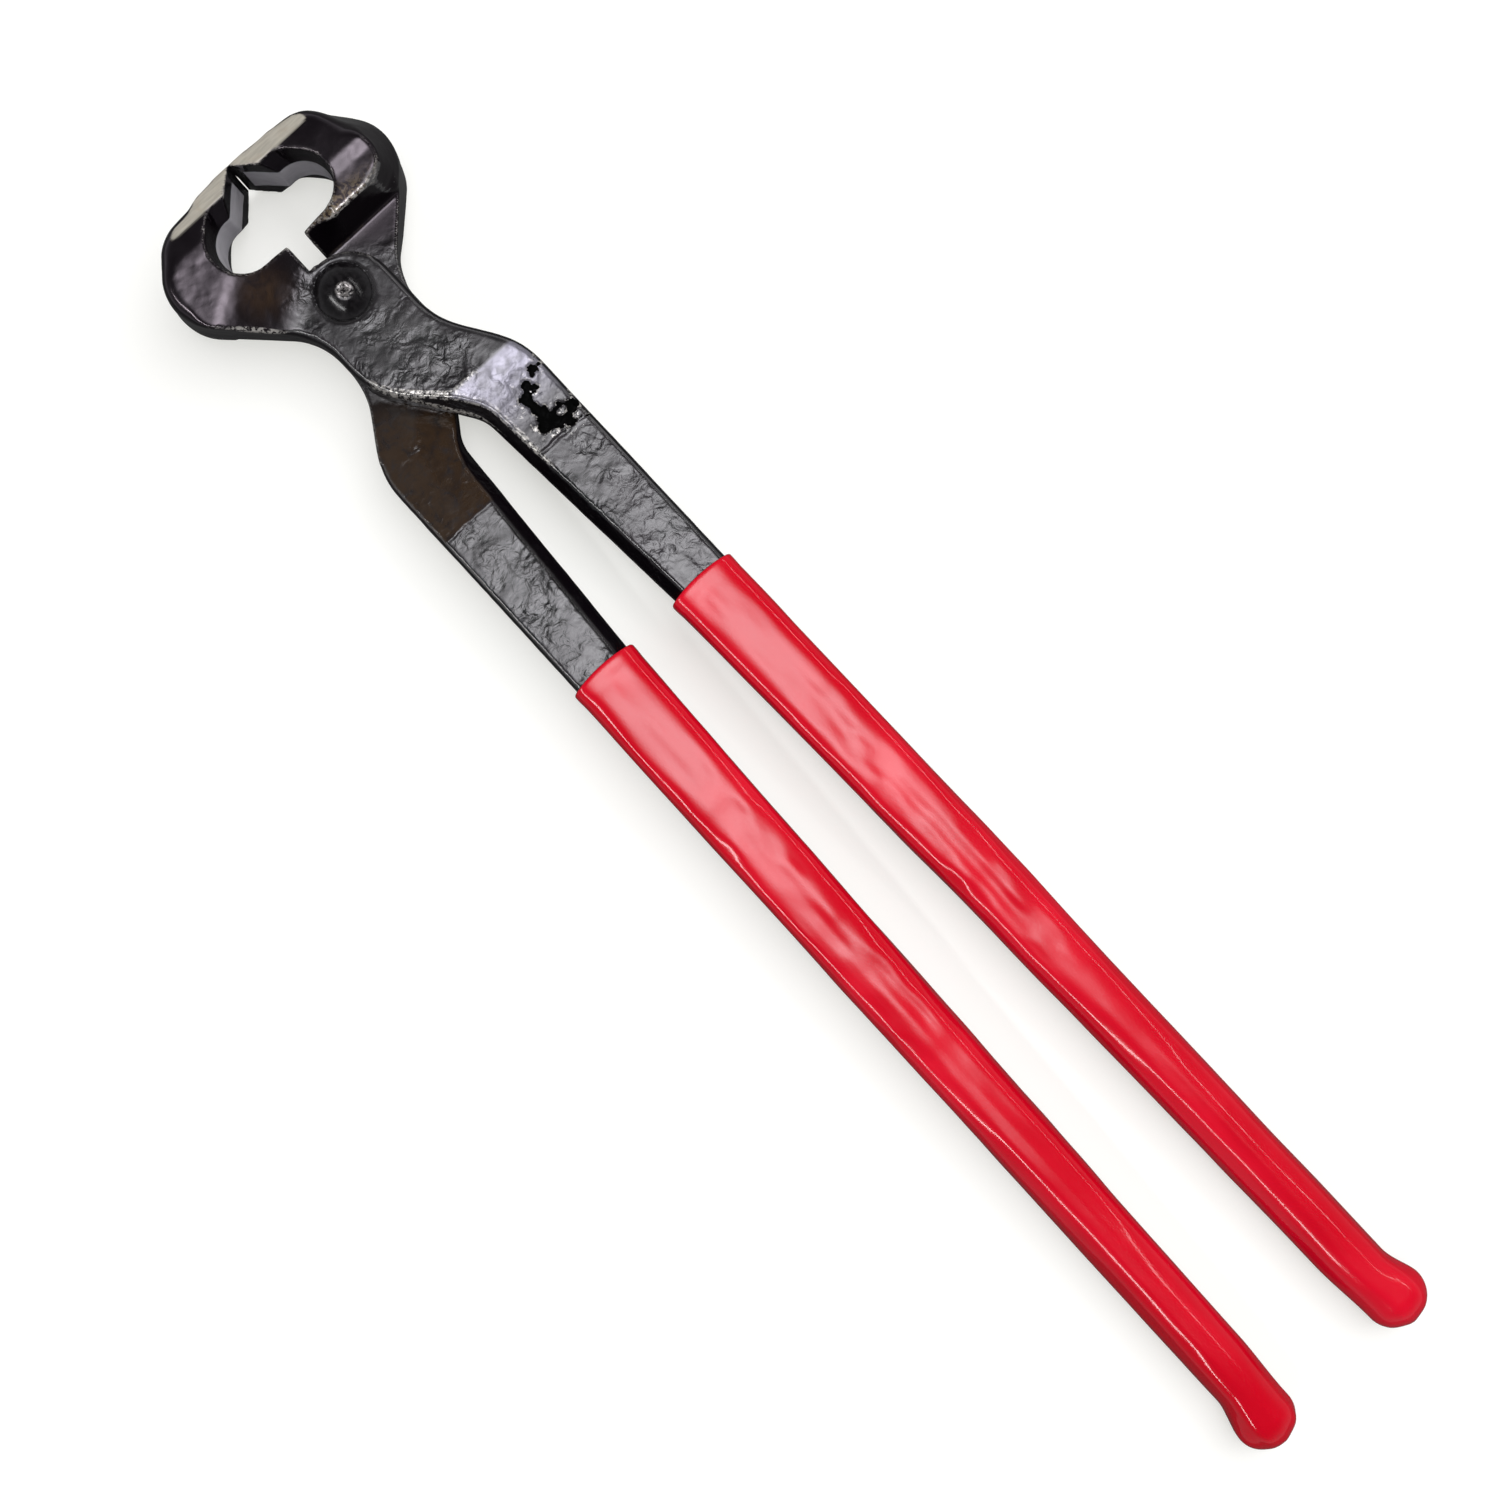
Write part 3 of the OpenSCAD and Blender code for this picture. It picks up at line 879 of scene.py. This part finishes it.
def forged_steel():
    """Black oiled scale, stained, rubbed and flaked in places, and bare ground steel, with painted shade,
    highlights, reflection and sheen.
    """
    n = Nodes("forged_steel")
    ground, brown, jaw, side = (n.attribute(name) for name in ("ground", "brown", "jaw", "side"))
    cloud = n.noise(11, 4)
    grain = n.noise(0.45, 3, 0.6, 0.0, (0.1, 0.7, 0.7))

    ragged = n.times(n.math("SUBTRACT", n.noise(0.9, 3), 0.5), 2.0)
    lifted = n.math("ADD", n.attribute("flaked"), ragged)
    flaked = n.span(lifted, -0.08, 0.08)
    flakes = n.times(n.span(lifted, -1.7, -0.6), n.span(n.noise(1.3, 3, 0.6, 1.0), 0.5, 0.58))
    rusty = n.times(brown, n.span(n.noise(3.0, 4, 0.6, 0.8), 0.2, 0.6))
    rubbed = n.times(n.span(n.attribute("edge"), 0.005, 0.018), n.span(n.noise(0.9, 4, 0.7), 0.45, 0.55))
    worn = n.larger(n.times(rubbed, 0.9), flakes)
    # Painted sheen on the upper lever's slope, patchy
    bright = n.times(n.attribute("bright"), n.rest_of(side))
    painted_slope_sheen = n.times(bright, n.span(n.noise(3.5, 4, 0.6, 1.0), 0.3, 0.6, 0.55, 1.0))

    black = scale_colour(n, cloud, jaw, side, rusty, worn, painted_slope_sheen)
    black = n.mix(flaked, black, (0.002, 0.002, 0.002, 1))
    n.set(Base_Color=n.mix(ground, black, ground_colour(n, grain)))
    # The painted sheen is partly metallic as well
    n.set(Metallic=n.blend(ground, n.larger(n.times(worn, 0.6), n.times(painted_slope_sheen, 0.5)), 0.3))
    n.set(Roughness=n.blend(ground, n.span(cloud, 0.35, 0.7, 0.12, 0.24), 0.45))
    # Painted shade: the reflections on the upright side faces are dimmed too
    glossy = n.rest_of(n.larger(flaked, n.times(side, 0.5)))
    glossy = n.times(glossy, n.rest_of(n.times(brown, 0.3)))
    n.set(Specular_IOR_Level=n.times(glossy, 0.7))
    n.set(Specular_Tint=n.mix(jaw, (1, 1, 1, 1), (1.0, 0.84, 0.96, 1)))
    n.set(Coat_Weight=n.blend(ground, n.times(glossy, 0.5), 0.0), Coat_Roughness=0.16)
    forged_relief(n, ground, jaw, bright, grain)
    return n.material


def rivet_steel():
    """Black oiled steel, beaten bare on its crown."""
    n = Nodes("rivet_steel")
    scale = n.noise(1.6, 4, 0.55, 0.5)
    black = n.mix(n.span(scale, 0.4, 0.65), (0.003, 0.0025, 0.003, 1), (0.010, 0.009, 0.010, 1))
    bare = n.times(n.attribute("crown"), n.span(n.noise(0.9, 3, 0.6, 0.8), 0.42, 0.56))
    n.set(Base_Color=n.mix(bare, black, (0.34, 0.32, 0.31, 1)), Metallic=n.times(bare, 0.8))
    n.set(Specular_IOR_Level=0.45, Roughness=n.span(scale, 0.35, 0.65, 0.17, 0.23))
    n.set(Coat_Weight=0.2, Coat_Roughness=0.14, Normal=n.bump(scale, 0.02))
    return n.material


def red_vinyl():
    """Glossy dipped vinyl, slightly cloudy and slightly see-through."""
    n = Nodes("red_vinyl")
    cloud = n.noise(20, 3, 0.5, 0.3, (1, 0.4, 1))
    fine = n.noise(0.8, 3)
    red = n.mix(n.span(cloud, 0.35, 0.7), (0.56, 0.001, 0.012, 1), (0.70, 0.004, 0.022, 1))
    n.set(Base_Color=red)
    n.set(Roughness=n.span(cloud, 0.3, 0.7, 0.10, 0.18), Specular_IOR_Level=0.45)
    n.set(Subsurface_Weight=0.08, Subsurface_Radius=(0.004, 0.0008, 0.0006), Subsurface_Scale=0.5)
    n.set(Coat_Weight=0.3, Coat_Roughness=0.03, Normal=n.bump(fine, 0.012))
    return n.material


# ---- build ----

PITCH = 0.42    # of the grid that the levers are meshed on
CURL_Y = BAR_END + 24                  # the bar's hidden, curled end is behind this
HEAD_Y = -62.0                         # the head, lap and slope are in front of this
LEVER = mesh_from_field(
    lever_field,
    spread((-JAW_X - 2, 30.0, PITCH)),
    spread(
        (BAR_END - 4, CURL_Y, 1.5),
        (CURL_Y, MOUTH_Y - 6, 5.0),
        (MOUTH_Y - 6, HEAD_Y, 2 * PITCH),
        (HEAD_Y, EDGE_Y + 2, PITCH),
    ),
    spread((-JAW_H - 1.5, JAW_H + 1.5, PITCH)),
)
LEVER = (LEVER[0], outward(*LEVER))

steel = forged_steel()
forged_lever("forged_upper_lever", False, 1, steel, "upper_arm", "upper_lever")
forged_lever("forged_lower_lever", True, 4, steel, "lower_arm", "lower_lever")
vinyl = red_vinyl()
dipped_grip("dipped_upper_grip", False, 11, vinyl, "upper_arm", "upper_grip")
dipped_grip("dipped_lower_grip", True, 23, vinyl, "lower_arm", "lower_grip")
set_rivet("set_rivet", 5, rivet_steel(), "upper_arm", "pivot_rivet")


# ---- stage, light and camera, in metres ----

FLOOR_GLOW = 0.54     # brings the floor up to the pale backdrop it is seen against
FLOOR_HALF = 3.0
FLOOR_GAP = 0.0002    # keeps the floor just clear of the tool
LENS, SENSOR = 52.4, 36.0
CAMERA_AT = PIVOT + np.array([-3.0, -140.2, 507.5]) * MM
CAMERA_TURN = -42.8   # degrees about its own line of sight, straight down


def stage_plane():
    """A pale floor, tilted so that it touches the head and the ends of the grips."""
    half = FLOOR_HALF
    corners = [(-half, -half, 0), (half, -half, 0), (half, half, 0), (-half, half, 0)]
    mesh = bpy.data.meshes.new("floor")
    mesh.from_pydata(corners, [], [(0, 1, 2, 3)])
    floor = bpy.data.objects.new("floor", mesh)
    bpy.context.scene.collection.objects.link(floor)
    rise = math.atan2(JAW_H - GRIP_H, REST_Y - GRIP_END)
    floor.rotation_euler = (-rise, 0, 0)
    floor.location = (0, PIVOT[1] + REST_Y * MM, -FLOOR_GAP)
    n = Nodes("floor")
    seen = n.add("ShaderNodeLightPath").outputs["Is Camera Ray"]
    n.set(Base_Color=n.mix(seen, (0.10, 0.10, 0.10, 1), (0.50, 0.50, 0.50, 1)), Roughness=0.9)
    n.set(Specular_IOR_Level=0.0)
    n.set(Emission_Color=(1, 1, 0.95, 1), Emission_Strength=n.times(seen, FLOOR_GLOW))
    floor.data.materials.append(n.material)


def area_light(name, place, aim, size, power, reflected=True):
    """A rectangular light. Without reflected it lights the tool but isn't mirrored in it."""
    data = bpy.data.lights.new(name, "AREA")
    data.shape = "RECTANGLE"
    data.size, data.size_y = size
    data.energy = power
    light = bpy.data.objects.new(name, data)
    light.location = place
    light.rotation_euler = (Vector(aim) - Vector(place)).to_track_quat("-Z", "Y").to_euler()
    light.visible_glossy = reflected
    bpy.context.scene.collection.objects.link(light)


def world_light(low, level, high, width_deg, tilt_deg):
    """A dim surround, lighter level with the tool, with one soft bright patch nearly overhead."""
    world = bpy.data.worlds.new("studio")
    world.use_nodes = True
    tree = world.node_tree
    background = tree.nodes["Background"]
    background.inputs["Color"].default_value = (0.97, 0.96, 1.0, 1)

    def calculate(operation, a, b):
        node = tree.nodes.new("ShaderNodeMath")
        node.operation = operation
        for socket, value in zip(node.inputs, (a, b)):
            if isinstance(value, bpy.types.NodeSocket):
                tree.links.new(value, socket)
            else:
                socket.default_value = value
        return node.outputs[0]

    direction = tree.nodes.new("ShaderNodeTexCoord").outputs["Generated"]
    towards = tree.nodes.new("ShaderNodeVectorMath")
    towards.operation = "DOT_PRODUCT"
    tree.links.new(direction, towards.inputs[0])
    tilt = math.radians(tilt_deg)
    towards.inputs[1].default_value = (0, math.sin(tilt), math.cos(tilt))
    sharp_fall = 2 / math.radians(width_deg) ** 2
    fall = calculate("MULTIPLY", calculate("SUBTRACT", towards.outputs["Value"], 1), sharp_fall)
    bell = calculate("POWER", math.e, fall)
    height = tree.nodes.new("ShaderNodeSeparateXYZ")
    tree.links.new(direction, height.inputs[0])
    flatness = calculate("SUBTRACT", 1, calculate("MULTIPLY", height.outputs["Z"], height.outputs["Z"]))
    around = calculate("ADD", calculate("MULTIPLY", calculate("POWER", flatness, 5), level), low)
    light = calculate("ADD", calculate("MULTIPLY", bell, high), around)
    seen = tree.nodes.new("ShaderNodeLightPath").outputs["Is Camera Ray"]
    hidden = calculate("MULTIPLY", calculate("SUBTRACT", 1, seen), light)
    strength = calculate("ADD", hidden, calculate("MULTIPLY", seen, FLOOR_GLOW))
    tree.links.new(strength, background.inputs["Strength"])
    bpy.context.scene.world = world


def photo_camera():
    """A camera that looks straight down, with the tool lying across its picture."""
    data = bpy.data.cameras.new("camera")
    data.lens, data.sensor_width = LENS, SENSOR
    camera = bpy.data.objects.new("camera", data)
    camera.location = CAMERA_AT
    camera.rotation_euler = (0, 0, math.radians(CAMERA_TURN))
    bpy.context.scene.collection.objects.link(camera)
    bpy.context.scene.camera = camera


stage_plane()
area_light("fill", (0.60, 0.02, 1.05), (0, 0.02, 0), (1.4, 1.4), 17, reflected=False)
area_light("left_strip", (-0.75, 0.0, 0.95), (0, 0, 0), (1.2, 0.08), 4.0)
area_light("right_strip", (0.75, 0.0, 0.95), (0, 0, 0), (1.2, 0.03), 0.9)
world_light(low=0.05, level=0.35, high=5.9, width_deg=9.0, tilt_deg=1.0)
photo_camera()
bpy.context.scene.view_settings.view_transform = "Standard"
